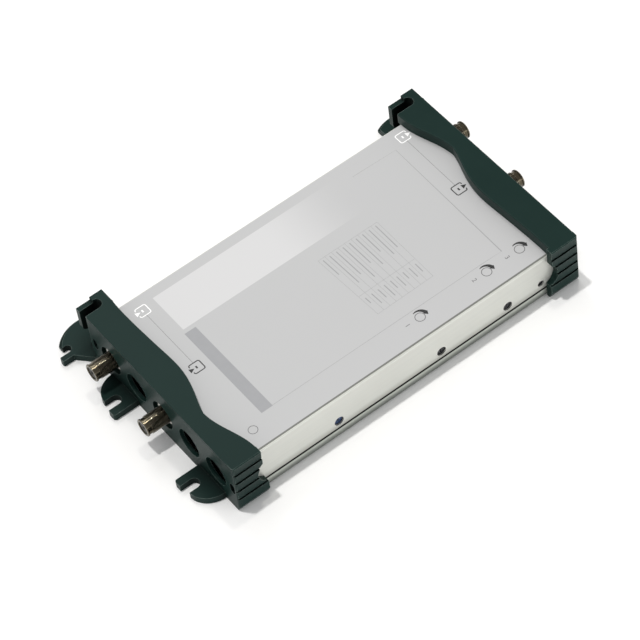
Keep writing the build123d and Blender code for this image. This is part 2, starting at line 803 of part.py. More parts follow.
def build():
    nodes = {
        "base_tray": base_tray(),
        "top_cover": top_cover(),
        "label_sheet": label_sheet(),
        "circuit_board": circuit_board(),
        "board_posts": board_posts(),
        "board_screws": screws([(x, y, board_top) for x, y in post_places], (0, 0, -1),
                               screw_radius, screw_length),
        "cover_screws": screws([(x, half_width, cover_screw_height) for x in cover_screw_places],
                               (0, -1, 0), cover_screw_radius, cover_screw_length),
        "cap_screws": Compound(children=[cap_screw(side, y, 0) for side in sides.values()
                                         for y in cap_screw_rows()]),
        "input_shield_can": shield_can(-1),
        "output_shield_can": shield_can(1),
        "amplifier_module": amplifier_module(),
        "heat_bracket": heat_bracket(),
        "voltage_regulator": voltage_regulator(),
        "filter_capacitors": filter_capacitors(),
        "chokes": chokes(),
        "signal_chips": signal_chips(),
        "power_lamp": power_lamp(),
        "lamp_spacer": lamp_spacer(),
        "socket_washers": socket_washers(),
        "socket_nuts": socket_nuts(),
    }
    for name, side in sides.items():
        nodes[f"{name}_end_cap"] = end_cap(side)
        for port in socket_ports:
            prefix = f"{name}_{port}_socket"
            nodes[f"{prefix}_shell"] = socket_shell(side, port_y(port))
            nodes[f"{prefix}_insulator"] = socket_insulator(side, port_y(port))
            nodes[f"{prefix}_contact"] = socket_contact(side, port_y(port))
    for number, x in enumerate(preset_places, start=1):
        nodes[f"preset_housing_{number}"] = preset_housing(x)
        nodes[f"preset_rotor_{number}"] = preset_rotor(x)
    return nodes


os.makedirs("parts", exist_ok=True)
for node_name, shape in build().items():
    export_step(shape, f"parts/{node_name}.step")
    print(node_name, round(shape.volume, 2))
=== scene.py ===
import math

import bmesh
import bpy
from mathutils import Matrix, Vector


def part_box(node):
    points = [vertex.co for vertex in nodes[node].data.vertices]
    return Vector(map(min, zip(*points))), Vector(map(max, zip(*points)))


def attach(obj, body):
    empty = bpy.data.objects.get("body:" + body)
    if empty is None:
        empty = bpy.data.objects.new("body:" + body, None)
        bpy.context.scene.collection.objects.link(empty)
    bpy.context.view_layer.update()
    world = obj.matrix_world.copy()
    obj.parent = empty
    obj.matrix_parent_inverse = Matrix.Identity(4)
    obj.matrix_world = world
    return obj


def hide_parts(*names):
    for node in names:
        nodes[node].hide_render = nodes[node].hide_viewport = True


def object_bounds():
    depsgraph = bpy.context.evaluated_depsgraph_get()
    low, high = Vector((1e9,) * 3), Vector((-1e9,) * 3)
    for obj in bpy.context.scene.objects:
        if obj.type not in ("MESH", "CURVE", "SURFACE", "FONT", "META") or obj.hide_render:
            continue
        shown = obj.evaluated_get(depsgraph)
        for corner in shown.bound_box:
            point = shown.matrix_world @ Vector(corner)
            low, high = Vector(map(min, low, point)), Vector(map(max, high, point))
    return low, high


# Looks for a television line amplifier. Everything is in metres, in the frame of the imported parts.
mm = 0.001

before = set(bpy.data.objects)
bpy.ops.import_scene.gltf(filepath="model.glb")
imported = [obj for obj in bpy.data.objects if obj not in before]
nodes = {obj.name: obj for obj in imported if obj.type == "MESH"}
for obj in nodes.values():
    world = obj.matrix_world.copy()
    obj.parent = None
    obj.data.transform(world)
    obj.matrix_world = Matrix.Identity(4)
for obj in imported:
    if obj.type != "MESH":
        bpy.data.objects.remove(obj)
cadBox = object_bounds()
print("loaded", len(nodes), "parts")


def linear(r, g, b):
    # sRGB 0..255 to the linear colour that a shader socket takes
    def one(value):
        value = value / 255
        return value / 12.92 if value <= 0.04045 else ((value + 0.055) / 1.055) ** 2.4
    return (one(r), one(g), one(b), 1.0)


def newMaterial(name):
    material = bpy.data.materials.new(name)
    material.use_nodes = True
    tree = material.node_tree
    return material, tree, tree.nodes["Principled BSDF"]


def placeGroup(tree, group, values, where=(-600, 0)):
    node = tree.nodes.new("ShaderNodeGroup")
    node.node_tree = group
    node.location = where
    for key, value in values.items():
        node.inputs[key].default_value = value
    return node


def newGroup(name, inputs, outputs):
    group = bpy.data.node_groups.new(name, "ShaderNodeTree")
    for label, kind, value in inputs:
        socket = group.interface.new_socket(name=label, in_out="INPUT", socket_type=kind)
        socket.default_value = value
    for label, kind in outputs:
        group.interface.new_socket(name=label, in_out="OUTPUT", socket_type=kind)
    start = group.nodes.new("NodeGroupInput")
    end = group.nodes.new("NodeGroupOutput")
    return group, start, end


def link(tree, source, target):
    tree.links.new(source, target)


def mathNode(tree, kind, a=None, b=None, clamp=False):
    node = tree.nodes.new("ShaderNodeMath")
    node.operation = kind
    node.use_clamp = clamp
    for slot, value in ((0, a), (1, b)):
        if value is None:
            continue
        if isinstance(value, (int, float)):
            node.inputs[slot].default_value = value
        else:
            link(tree, value, node.inputs[slot])
    return node.outputs[0]


def noiseNode(tree, vector, scale, detail=3.0, rough=0.55):
    node = tree.nodes.new("ShaderNodeTexNoise")
    node.inputs["Detail"].default_value = detail
    node.inputs["Roughness"].default_value = rough
    if isinstance(scale, (int, float)):
        node.inputs["Scale"].default_value = scale
    else:
        link(tree, scale, node.inputs["Scale"])
    link(tree, vector, node.inputs["Vector"])
    return node.outputs["Fac"]


def mixColour(tree, mask, a, b, blend="MIX"):
    node = tree.nodes.new("ShaderNodeMix")
    node.data_type = "RGBA"
    node.blend_type = blend
    for name, value in (("Factor", mask), ("A", a), ("B", b)):
        socket = [s for s in node.inputs if s.name == name and (name == "Factor" or s.type == "RGBA")][0]
        if isinstance(value, (tuple, list, float, int)):
            socket.default_value = value
        else:
            link(tree, value, socket)
    return [s for s in node.outputs if s.type == "RGBA"][0]


def objectCoords(tree):
    return tree.nodes.new("ShaderNodeTexCoord").outputs["Object"]


def makeGrainGroup():
    # Fine moulded grain: a height for a bump, and a mask of broad patches
    group, start, end = newGroup("mouldGrain",
        [("Fine Scale", "NodeSocketFloat", 2500.0), ("Broad Scale", "NodeSocketFloat", 35.0)],
        [("Height", "NodeSocketFloat"), ("Patches", "NodeSocketFloat")])
    coords = objectCoords(group)
    fine = noiseNode(group, coords, start.outputs["Fine Scale"], 2.0, 0.6)
    broad = noiseNode(group, coords, start.outputs["Broad Scale"], 3.0, 0.5)
    link(group, fine, end.inputs["Height"])
    link(group, broad, end.inputs["Patches"])
    return group


def makeBrushGroup():
    # Rolled or brushed metal: noise drawn out along one axis
    group, start, end = newGroup("rolledMetal",
        [("Along", "NodeSocketVector", (6.0, 900.0, 900.0)), ("Cloud Scale", "NodeSocketFloat", 30.0)],
        [("Height", "NodeSocketFloat"), ("Streaks", "NodeSocketFloat"), ("Clouds", "NodeSocketFloat")])
    coords = objectCoords(group)
    stretch = group.nodes.new("ShaderNodeVectorMath")
    stretch.operation = "MULTIPLY"
    link(group, coords, stretch.inputs[0])
    link(group, start.outputs["Along"], stretch.inputs[1])
    streaks = noiseNode(group, stretch.outputs[0], 1.0, 4.0, 0.6)
    clouds = noiseNode(group, coords, start.outputs["Cloud Scale"], 3.0, 0.5)
    link(group, streaks, end.inputs["Height"])
    link(group, streaks, end.inputs["Streaks"])
    link(group, clouds, end.inputs["Clouds"])
    return group


def makeEdgeGroup():
    # Painted highlight along edges, broken up like wear: where the bevelled normal leaves the real one
    group, start, end = newGroup("edgeHighlightAndWear",
        [("Radius", "NodeSocketFloat", 0.0004), ("Gain", "NodeSocketFloat", 6.0),
         ("Break Scale", "NodeSocketFloat", 400.0)],
        [("Edge", "NodeSocketFloat")])
    bevel = group.nodes.new("ShaderNodeBevel")
    bevel.samples = 4
    link(group, start.outputs["Radius"], bevel.inputs["Radius"])
    geometry = group.nodes.new("ShaderNodeNewGeometry")
    dot = group.nodes.new("ShaderNodeVectorMath")
    dot.operation = "DOT_PRODUCT"
    link(group, bevel.outputs["Normal"], dot.inputs[0])
    link(group, geometry.outputs["Normal"], dot.inputs[1])
    gap = mathNode(group, "SUBTRACT", 1.0, dot.outputs["Value"])
    raised = mathNode(group, "MULTIPLY", gap, start.outputs["Gain"], clamp=True)
    broken = noiseNode(group, objectCoords(group), start.outputs["Break Scale"], 2.0, 0.5)
    breakGain = 1.6
    highlightAndWear = mathNode(group, "MULTIPLY", raised, mathNode(group, "MULTIPLY", broken, breakGain), clamp=True)
    link(group, highlightAndWear, end.inputs["Edge"])
    return group


def makePocketGroup():
    # Painted shade in pockets: how much of the surroundings within a distance is closed off by the piece itself
    group, start, end = newGroup("paintedPocketShade",
        [("Distance", "NodeSocketFloat", 0.01), ("Depth", "NodeSocketFloat", 1.0)],
        [("Shade", "NodeSocketFloat")])
    openness = group.nodes.new("ShaderNodeAmbientOcclusion")
    openness.samples = 8
    openness.only_local = True
    link(group, start.outputs["Distance"], openness.inputs["Distance"])
    closed = mathNode(group, "SUBTRACT", 1.0, openness.outputs["AO"])
    link(group, mathNode(group, "MULTIPLY", closed, start.outputs["Depth"], clamp=True), end.inputs["Shade"])
    return group


grainGroup = makeGrainGroup()
paintedShadeGroup = makePocketGroup()
brushGroup = makeBrushGroup()
edgeHighlightGroup = makeEdgeGroup()
print("shader groups ready")


def bumpInto(tree, bsdf, height, strength, distance):
    bump = tree.nodes.new("ShaderNodeBump")
    bump.inputs["Strength"].default_value = strength
    bump.inputs["Distance"].default_value = distance
    link(tree, height, bump.inputs["Height"])
    link(tree, bump.outputs["Normal"], bsdf.inputs["Normal"])
    return bump


def varyRoughness(tree, mask, middle, spread):
    # Roughness that runs evenly to both sides of its middle value
    return mathNode(tree, "ADD", middle - spread / 2, mathNode(tree, "MULTIPLY", mask, spread))


def plasticMaterial(name, look):
    material, tree, bsdf = newMaterial(name)
    grain = placeGroup(tree, grainGroup, {"Fine Scale": look["fineScale"], "Broad Scale": look["broadScale"]})
    edge = placeGroup(tree, edgeHighlightGroup, {"Radius": look["edgeRadius"], "Gain": look["edgeGain"]}, (-600, -300))
    base = mixColour(tree, grain.outputs["Patches"], linear(*look["dark"]), linear(*look["light"]))
    # Painted highlight: edges turn towards the lighter edge colour, broken up like wear
    base = mixColour(tree, edge.outputs["Edge"], base, linear(*look["edge"]))
    pocketValues = {"Distance": look["pocketDistance"], "Depth": look["pocketDepth"]}
    pocket = placeGroup(tree, paintedShadeGroup, pocketValues, (-600, -600))
    # Painted shade: the colour darkens towards the pocket colour where the piece closes in on itself
    base = mixColour(tree, pocket.outputs["Shade"], base, linear(*look["pocket"]))
    link(tree, base, bsdf.inputs["Base Color"])
    rough = varyRoughness(tree, grain.outputs["Patches"], look["roughness"], look["roughSpread"])
    dulled = mathNode(tree, "MULTIPLY", pocket.outputs["Shade"], look["pocketRough"])
    link(tree, mathNode(tree, "ADD", rough, dulled), bsdf.inputs["Roughness"])
    bsdf.inputs["Specular IOR Level"].default_value = look["gloss"]
    bumpInto(tree, bsdf, grain.outputs["Height"], look["bump"], look["bumpDepth"])
    return material


def smoothStep(tree, value, low, high):
    # 0 below low, 1 above high, both in mm
    node = tree.nodes.new("ShaderNodeMapRange")
    node.interpolation_type = "SMOOTHSTEP"
    node.inputs["From Min"].default_value = low * mm
    node.inputs["From Max"].default_value = high * mm
    link(tree, value, node.inputs["Value"])
    return node.outputs["Result"]


def placeAxis(tree, axis):
    parts = tree.nodes.new("ShaderNodeSeparateXYZ")
    link(tree, objectCoords(tree), parts.inputs[0])
    return parts.outputs[axis]


def metalMaterial(name, look):
    material, tree, bsdf = newMaterial(name)
    brush = placeGroup(tree, brushGroup, {"Along": look["along"], "Cloud Scale": look["cloudScale"]})
    edge = placeGroup(tree, edgeHighlightGroup, {"Radius": look["edgeRadius"], "Gain": look["edgeGain"]}, (-600, -300))
    mask = mathNode(tree, "ADD", mathNode(tree, "MULTIPLY", brush.outputs["Streaks"], look["streakShare"]),
                    mathNode(tree, "MULTIPLY", brush.outputs["Clouds"], 1 - look["streakShare"]), clamp=True)
    base = mixColour(tree, mask, linear(*look["dark"]), linear(*look["light"]))
    # Painted highlight: edges turn towards the lighter edge colour, broken up like wear
    base = mixColour(tree, edge.outputs["Edge"], base, linear(*look["edge"]))
    for shade in look.get("paintedShadeBands", ()):
        # Bands of painted shade by height: full below the first height, gone above the second, or the other way round
        height = placeAxis(tree, "Z")
        band = smoothStep(tree, height, *sorted(shade["heights"]))
        if shade["heights"][0] < shade["heights"][1]:
            band = mathNode(tree, "SUBTRACT", 1.0, band)
        base = mixColour(tree, mathNode(tree, "MULTIPLY", band, shade["share"]), base, linear(*shade["colour"]))
    link(tree, base, bsdf.inputs["Base Color"])
    bsdf.inputs["Metallic"].default_value = look["metallic"]
    rough = varyRoughness(tree, brush.outputs["Clouds"], look["roughness"], look["roughSpread"])
    link(tree, rough, bsdf.inputs["Roughness"])
    bumpInto(tree, bsdf, brush.outputs["Height"], look["bump"], look["bumpDepth"])
    return material


# Plastics: colours of the grain and of the edges, a painted highlight broken up like wear, then the gloss, the grain
# and the painted shade in pockets
capLook = {"dark": (18, 38, 35), "light": (27, 48, 44), "edge": (118, 134, 128),
           "roughness": 0.36, "roughSpread": 0.1, "gloss": 0.08, "fineScale": 2600.0, "broadScale": 28.0,
           "edgeRadius": 0.0004, "edgeGain": 4.0, "bump": 0.25, "bumpDepth": 0.00006,
           # the last line: painted shade in pockets, its colour, reach and strength, and duller roughness there
           "pocket": (0, 4, 3), "pocketDistance": 0.016, "pocketDepth": 1.55, "pocketRough": 0.4}
blackLook = {"dark": (20, 20, 21), "light": (32, 32, 33), "edge": (60, 60, 60),
             "roughness": 0.5, "roughSpread": 0.1, "gloss": 0.5, "fineScale": 3000.0, "broadScale": 90.0,
             "edgeRadius": 0.0002, "edgeGain": 1.5, "bump": 0.2, "bumpDepth": 0.00004,
             # the last line: painted shade in pockets, its colour, reach and strength, and duller roughness there
             "pocket": (6, 6, 6), "pocketDistance": 0.003, "pocketDepth": 1.0, "pocketRough": 0.4}
boardLook = dict(blackLook, dark=(28, 82, 52), light=(40, 104, 66), edge=(150, 160, 110), roughness=0.35)
blueLook = dict(blackLook, dark=(8, 36, 76), light=(16, 56, 108), edge=(150, 176, 212), roughness=0.35,
                edgeRadius=0.00025, edgeGain=6.0)
rotorLook = dict(blueLook, dark=(18, 20, 24), light=(28, 30, 35), edge=(150, 153, 158))
insulatorLook = dict(blackLook, dark=(26, 25, 21), light=(38, 36, 31), edge=(90, 87, 78), roughness=0.4)
sleeveLook = dict(blackLook, dark=(22, 24, 40), light=(34, 38, 60), edge=(90, 94, 120), roughness=0.25)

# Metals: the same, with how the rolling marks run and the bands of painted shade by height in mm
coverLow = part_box("top_cover")[0].z / mm
coverLook = {"dark": (196, 197, 191), "light": (220, 221, 215), "edge": (250, 250, 246),
             "metallic": 0.5, "roughness": 0.4, "roughSpread": 0.12,
             "along": (9.0, 900.0, 900.0), "cloudScale": 26.0, "streakShare": 0.35,
             "edgeRadius": 0.0005, "edgeGain": 2.0, "bump": 0.08, "bumpDepth": 0.00003,
             # painted shade: darker towards the cover's lower edge, and a dark band in the gap above the tray
             "paintedShadeBands": ({"heights": (coverLow - 0.5, coverLow + 4.5), "share": 0.5, "colour": (120, 122, 114)},
                        {"heights": (coverLow + 0.1, coverLow + 0.45), "share": 0.8, "colour": (40, 42, 37)})}
trayLook = {"dark": (186, 191, 182), "light": (220, 224, 216), "edge": (236, 237, 231),
            "metallic": 0.6, "roughness": 0.36, "roughSpread": 0.12,
            "along": (9.0, 1100.0, 1100.0), "cloudScale": 30.0, "streakShare": 0.5,
            "edgeRadius": 0.0004, "edgeGain": 2.0, "bump": 0.1, "bumpDepth": 0.00003,
            # painted shade: darker towards the tray's bottom, and a dark band in the gap below the cover
            "paintedShadeBands": ({"heights": (1.6, coverLow - 1.0), "share": 0.75, "colour": (70, 76, 71)},
                       {"heights": (coverLow - 1.1, coverLow - 1.5), "share": 0.98, "colour": (12, 13, 11)})}
# darkened nickel: painted shade and dark reflections on the socket barrels and board posts
shadedNickelLook = {"dark": (62, 57, 46), "light": (108, 101, 85), "edge": (226, 221, 204),
              "metallic": 1.0, "roughness": 0.17, "roughSpread": 0.12,
              "along": (900.0, 60.0, 60.0), "cloudScale": 300.0, "streakShare": 0.5,
              "edgeRadius": 0.0002, "edgeGain": 2.0, "bump": 0.05, "bumpDepth": 0.00002}
screwLook = dict(shadedNickelLook, dark=(168, 170, 168), light=(204, 206, 203), edge=(235, 235, 232), roughness=0.3,
                 along=(500.0, 500.0, 40.0), cloudScale=400.0, streakShare=0.4)
# lightened nickel: painted glints on the nuts and washers
litNutLook = dict(shadedNickelLook, dark=(226, 224, 216), light=(246, 244, 238), edge=(252, 251, 247), metallic=0.25,
               roughness=0.3)
goldLook = dict(shadedNickelLook, dark=(176, 142, 74), light=(212, 178, 104), edge=(240, 214, 150))
aluminiumLook = dict(screwLook, dark=(180, 181, 184), light=(214, 215, 218),
                     along=(12.0, 700.0, 700.0))

capPlastic = plasticMaterial("capPlastic", capLook)
coverSteel = metalMaterial("coverSteel", coverLook)
traySteel = metalMaterial("traySteel", trayLook)
shadedSocketNickel = metalMaterial("shadedSocketNickel", shadedNickelLook)
litNutNickel = metalMaterial("litNutNickel", litNutLook)
screwZinc = metalMaterial("screwZinc", screwLook)
contactGold = metalMaterial("contactGold", goldLook)
bracketAluminium = metalMaterial("bracketAluminium", aluminiumLook)
blackResin = plasticMaterial("blackResin", blackLook)
boardGreen = plasticMaterial("boardGreen", boardLook)
presetBlue = plasticMaterial("presetBlue", blueLook)
insulatorResin = plasticMaterial("insulatorResin", insulatorLook)
capacitorSleeve = plasticMaterial("capacitorSleeve", sleeveLook)
rotorGrey = plasticMaterial("rotorGrey", rotorLook)


filmLook = {"base": (187, 187, 188), "shade": (183, 184, 185), "bright": (206, 206, 207),
            "roughness": 0.46, "roughSpread": 0.06, "fineScale": 3500.0, "broadScale": 12.0,
            "bump": 0.1, "bumpDepth": 0.00002,
            "bandBack": 49.8, "bandFront": 24.5, "bandLeft": -69.8, "bandSoft": 0.15,
            "fadeStart": -10.0, "fadeEnd": 42.0, "rim": (112, 114, 109), "rimWidth": 0.95, "rimSoft": 0.1}


def filmMaterial(look):
    # Printed film: even grey with a lighter band that fades out along the box, and a darker front rim
    material, tree, bsdf = newMaterial("labelFilm")
    soft, rimSoft = look["bandSoft"], look["rimSoft"]
    x, y = placeAxis(tree, "X"), placeAxis(tree, "Y")
    left = smoothStep(tree, x, look["bandLeft"] - soft, look["bandLeft"] + soft)
    fade = mathNode(tree, "SUBTRACT", 1.0, smoothStep(tree, x, look["fadeStart"], look["fadeEnd"]))
    front = smoothStep(tree, y, look["bandFront"] - soft, look["bandFront"] + soft)
    back = smoothStep(tree, y, look["bandBack"] - soft, look["bandBack"] + soft)
    depth = mathNode(tree, "MULTIPLY", front, mathNode(tree, "SUBTRACT", 1.0, back))
    band = mathNode(tree, "MULTIPLY", mathNode(tree, "MULTIPLY", left, fade), depth)
    grain = placeGroup(tree, grainGroup, {"Fine Scale": look["fineScale"], "Broad Scale": look["broadScale"]})
    base = mixColour(tree, grain.outputs["Patches"], linear(*look["shade"]), linear(*look["base"]))
    base = mixColour(tree, band, base, linear(*look["bright"]))
    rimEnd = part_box("label_sheet")[0].y / mm + look["rimWidth"]
    rim = mathNode(tree, "SUBTRACT", 1.0, smoothStep(tree, y, rimEnd - rimSoft, rimEnd + rimSoft))
    base = mixColour(tree, rim, base, linear(*look["rim"]))
    link(tree, base, bsdf.inputs["Base Color"])
    rough = varyRoughness(tree, grain.outputs["Patches"], look["roughness"], look["roughSpread"])
    link(tree, rough, bsdf.inputs["Roughness"])
    bumpInto(tree, bsdf, grain.outputs["Height"], look["bump"], look["bumpDepth"])
    return material


labelFilm = filmMaterial(filmLook)


inkLook = {"roughness": 0.45, "roughSpread": 0.1, "fineScale": 5000.0, "broadScale": 300.0}


def inkMaterial(name, dark, light):
    # Screen-printed ink, a little uneven
    material, tree, bsdf = newMaterial(name)
    grain = placeGroup(tree, grainGroup, {"Fine Scale": inkLook["fineScale"], "Broad Scale": inkLook["broadScale"]})
    link(tree, mixColour(tree, grain.outputs["Patches"], linear(*dark), linear(*light)), bsdf.inputs["Base Color"])
    rough = varyRoughness(tree, grain.outputs["Patches"], inkLook["roughness"], inkLook["roughSpread"])
    link(tree, rough, bsdf.inputs["Roughness"])
    return material


inkBlack = inkMaterial("inkBlack", (16, 16, 17), (26, 26, 27))
inkGrey = inkMaterial("inkGrey", (104, 104, 105), (116, 116, 117))
inkPale = inkMaterial("inkPale", (146, 147, 148), (156, 157, 158))
inkWhite = inkMaterial("inkWhite", (250, 250, 250), (254, 254, 254))
inkPlate = inkMaterial("inkPlate", (150, 151, 154), (157, 158, 161))

lensLook = {"dark": (52, 112, 60), "light": (70, 140, 78), "roughness": 0.12, "fineScale": 900.0, "broadScale": 400.0}


def lampMaterial(look):
    material, tree, bsdf = newMaterial("lampLens")
    grain = placeGroup(tree, grainGroup, {"Fine Scale": look["fineScale"], "Broad Scale": look["broadScale"]})
    base = mixColour(tree, grain.outputs["Patches"], linear(*look["dark"]), linear(*look["light"]))
    link(tree, base, bsdf.inputs["Base Color"])
    bsdf.inputs["Roughness"].default_value = look["roughness"]
    return material


lampLens = lampMaterial(lensLook)
print("materials ready")


finishes = {
    "base_tray": traySteel, "top_cover": coverSteel, "label_sheet": labelFilm,
    "left_end_cap": capPlastic, "right_end_cap": capPlastic, "circuit_board": boardGreen,
    "board_posts": shadedSocketNickel, "board_screws": screwZinc, "cover_screws": screwZinc, "cap_screws": screwZinc,
    "input_shield_can": traySteel, "output_shield_can": traySteel, "amplifier_module": blackResin,
    "heat_bracket": bracketAluminium, "voltage_regulator": blackResin, "filter_capacitors": capacitorSleeve,
    "chokes": blackResin, "signal_chips": blackResin, "power_lamp": lampLens, "lamp_spacer": blackResin,
    "socket_washers": litNutNickel, "socket_nuts": litNutNickel,
}
endings = {"_shell": shadedSocketNickel, "_insulator": insulatorResin, "_contact": contactGold}
for name, node in nodes.items():
    material = finishes.get(name)
    for ending, finish in endings.items():
        if name.endswith(ending):
            material = finish
    if name.startswith("preset_housing"):
        material = blackResin
    if name.startswith("preset_rotor"):
        material = presetBlue if name.endswith("1") else rotorGrey
    node.data.materials.clear()
    node.data.materials.append(material)
print("parts finished")


printLook = {"lift": 0.02, "ink": 0.018, "line": 0.18, "thinLine": 0.12}
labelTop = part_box("label_sheet")[1].z / mm + printLook["lift"]


def addMesh(name, verts, faces, material, body="case"):
    mesh = bpy.data.meshes.new(name)
    mesh.from_pydata([Vector(v) * mm for v in verts], [], faces)
    mesh.update()
    piece = bpy.data.objects.new(name, mesh)
    bpy.context.scene.collection.objects.link(piece)
    mesh.materials.append(material)
    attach(piece, body)
    return piece


def printMesh(name, verts, faces, material):
    # Flat shapes at the top of the ink, given the ink's thickness downwards so that each is a closed solid
    piece = addMesh(name, verts, faces, material)
    mesh = bmesh.new()
    mesh.from_mesh(piece.data)
    made = bmesh.ops.extrude_face_region(mesh, geom=mesh.faces[:], use_keep_orig=True)["geom"]
    lower = [part for part in made if isinstance(part, bmesh.types.BMVert)]
    bmesh.ops.translate(mesh, vec=(0, 0, -printLook["ink"] * mm), verts=lower)
    bmesh.ops.recalc_face_normals(mesh, faces=mesh.faces[:])
    mesh.to_mesh(piece.data)
    mesh.free()


sharpestBend = 0.4


def stripAlong(points, width, closed=False):
    # Flat strip of a given width along a path in the label's plane
    count = len(points)
    left, right = [], []
    for i, point in enumerate(points):
        before = points[(i - 1) % count] if closed or i else point
        after = points[(i + 1) % count] if closed or i < count - 1 else point
        direction = (Vector(after) - Vector(before)).normalized()
        normal = Vector((-direction.y, direction.x))
        edgeIn = (Vector(point) - Vector(before)).normalized()
        bend = normal.dot(Vector((-edgeIn.y, edgeIn.x))) if edgeIn.length else 1.0
        reach = width / 2 / max(sharpestBend, bend)  # mitred, but never into a long spike
        left.append(Vector(point) + normal * reach)
        right.append(Vector(point) - normal * reach)
    verts = [(p.x, p.y, labelTop) for p in left + right]
    faces = []
    for i in range(count if closed else count - 1):
        j = (i + 1) % count
        faces.append((i, count + i, count + j, j))
    return verts, faces


def joined(shapes):
    verts, faces = [], []
    for shapeVerts, shapeFaces in shapes:
        shift = len(verts)
        verts += shapeVerts
        faces += [tuple(i + shift for i in face) for face in shapeFaces]
    return verts, faces


def polar(centre, radius, degrees):
    angle = math.radians(degrees)
    return centre[0] + radius * math.cos(angle), centre[1] + radius * math.sin(angle)


def arcPoints(centre, radius, start, end, count):
    return [polar(centre, radius, start + (end - start) * i / (count - 1)) for i in range(count)]


def taperedArc(centre, look):
    # The arrow's curved stem, thin at its start
    inner, outer = [], []
    count = look["arcSteps"]
    for i in range(count):
        share = i / (count - 1)
        degrees = look["arcStart"] + (look["arcEnd"] - look["arcStart"]) * share
        half = (look["arcThin"] + (look["arcThick"] - look["arcThin"]) * share) / 2
        inner.append((*polar(centre, look["arcRadius"] - half, degrees), labelTop))
        outer.append((*polar(centre, look["arcRadius"] + half, degrees), labelTop))
    faces = [(i, count + i, count + i + 1, i + 1) for i in range(count - 1)]
    return inner + outer, faces


ringLook = {"places": ((18.9, -44.5), (59.4, -44.4), (79.8, -44.1)), "radius": 2.5, "line": 0.4,
            "lampPlace": (-79.6, -44.4), "lampRadius": 2.3, "lampLine": 0.34, "steps": 45, "lastStep": 352,
            "arcRadius": 3.85, "arcStart": 112.0, "arcEnd": 12.0, "arcThin": 0.3, "arcThick": 2.0, "arcSteps": 14,
            "headOut": 1.4, "headIn": 1.3, "headLength": 2.0, "headShift": 0.1}


def turnMarks():
    look = ringLook
    rings, arrows = [], []

    def ring(place, radius, line):
        points = arcPoints(place, radius, 0, look["lastStep"], look["steps"])
        rings.append(stripAlong(points, line, closed=True))

    for place in look["places"]:
        ring(place, look["radius"], look["line"])
        arrows.append(taperedArc(place, look))
        tip = Vector(polar(place, look["arcRadius"], look["arcEnd"]))
        across = Vector(polar((0, 0), 1, look["arcEnd"]))
        along = Vector((across.y, -across.x))
        corners = [tip + across * look["headOut"], tip - across * look["headIn"],
                   tip + along * look["headLength"] - across * look["headShift"]]
        arrows.append(([(c.x, c.y, labelTop) for c in corners], [(0, 1, 2)]))
    ring(look["lampPlace"], look["lampRadius"], look["lampLine"])
    printMesh("presetRings", *joined(rings), inkGrey)
    printMesh("presetTurnArcs", *joined(arrows), inkBlack)


turnMarks()

tableLook = {"corners": ((3.3, 14.7), (39.3, 14.7), (38.8, -29.3), (5.1, -29.8)), "rows": 9, "columnShare": 0.68,
             "markShares": (0.42, 0.78, 0.66, 0.86, 0.58, 0.74, 0.5, 0.7, 0.62), "markLine": 0.5,
             "firstMark": (0.03, 0.94), "secondMark": (0.06, 0.22)}  # inset and longest dash of each column


def valueTable():
    # Blank grid of thin rules, rows stacked along X and two columns along Y, with plain dashes for its lines
    look = tableLook
    a, b, c, d = [Vector(p) for p in look["corners"]]
    rules, marks = [], []

    def rule(start, end, line, into):
        into.append(stripAlong([tuple(start), tuple(end)], line))

    for i in range(look["rows"] + 1):
        share = i / look["rows"]
        rule(a.lerp(b, share), d.lerp(c, share), printLook["thinLine"], rules)
    for share in (0.0, look["columnShare"], 1.0):
        rule(a.lerp(d, share), b.lerp(c, share), printLook["thinLine"], rules)
    for i, length in enumerate(look["markShares"]):
        share = (i + 0.5) / look["rows"]
        start, end = a.lerp(b, share), d.lerp(c, share)
        wide = look["columnShare"]
        inset, longest = look["firstMark"]
        rule(start.lerp(end, inset), start.lerp(end, inset + wide * longest * length), look["markLine"], marks)
        inset, longest = look["secondMark"]
        rule(start.lerp(end, wide + inset), start.lerp(end, wide + inset + longest * length), look["markLine"], marks)
    printMesh("valueTableRules", *joined(rules), inkPale)
    printMesh("valueTableDashes", *joined(marks), inkPale)


valueTable()

borderLook = {"path": ((-64.4, -39.1), (62.6, -39.2), (72.6, -39.5), (74.3, 44.6), (48.0, 45.2)),
              "bar": ((-70.9, 22.0), (-64.4, 22.0), (-64.4, -39.4), (-70.9, -39.4))}
signLook = {"whites": ((-77.8, 46.6), (82.2, 48.8)), "blacks": ((-77.9, 2.3), (81.8, 4.3)),
            "half": 3.0, "corner": 0.9, "cornerSteps": 5, "line": 0.55, "gap": 1.7,
            "arrowBack": 1.1, "arrowOut": 1.54, "arrowHalf": 1.364,
            "barShift": 0.2, "barHalf": 0.8, "barLine": 0.88}


def roundedSquare(place, turn):
    # Square with round corners, open in the middle of the side that faces the ports
    half, corner = signLook["half"], signLook["corner"]
    x, y = place
    points = [(x + half * turn, y + signLook["gap"])]
    for cornerX, cornerY, start in ((turn, 1, 0), (-turn, 1, 90), (-turn, -1, 180), (turn, -1, 270)):
        centre = (x + cornerX * (half - corner), y + cornerY * (half - corner))
        steps = signLook["cornerSteps"]
        angles = [start + 90 * step / (steps - 1) for step in range(steps)]
        if turn < 0:
            angles = [180 - angle for angle in angles]
        points += [polar(centre, corner, angle) for angle in angles]
    points.append((x + half * turn, y - signLook["gap"]))
    return stripAlong(points, signLook["line"])


def portSign(place, turn):
    # The square with its arrow head, which always points to +X, and a short bar in the middle
    look = signLook
    x, y = place
    rim = x + look["half"] * turn
    head = [(rim - look["arrowBack"], y - look["arrowHalf"]), (rim + look["arrowOut"], y),
            (rim - look["arrowBack"], y + look["arrowHalf"])]
    barX = x - look["barShift"]
    bar = stripAlong([(barX, y + look["barHalf"]), (barX, y - look["barHalf"])], look["barLine"])
    return [roundedSquare(place, turn), bar, ([(*point, labelTop) for point in head], [(0, 1, 2)])]


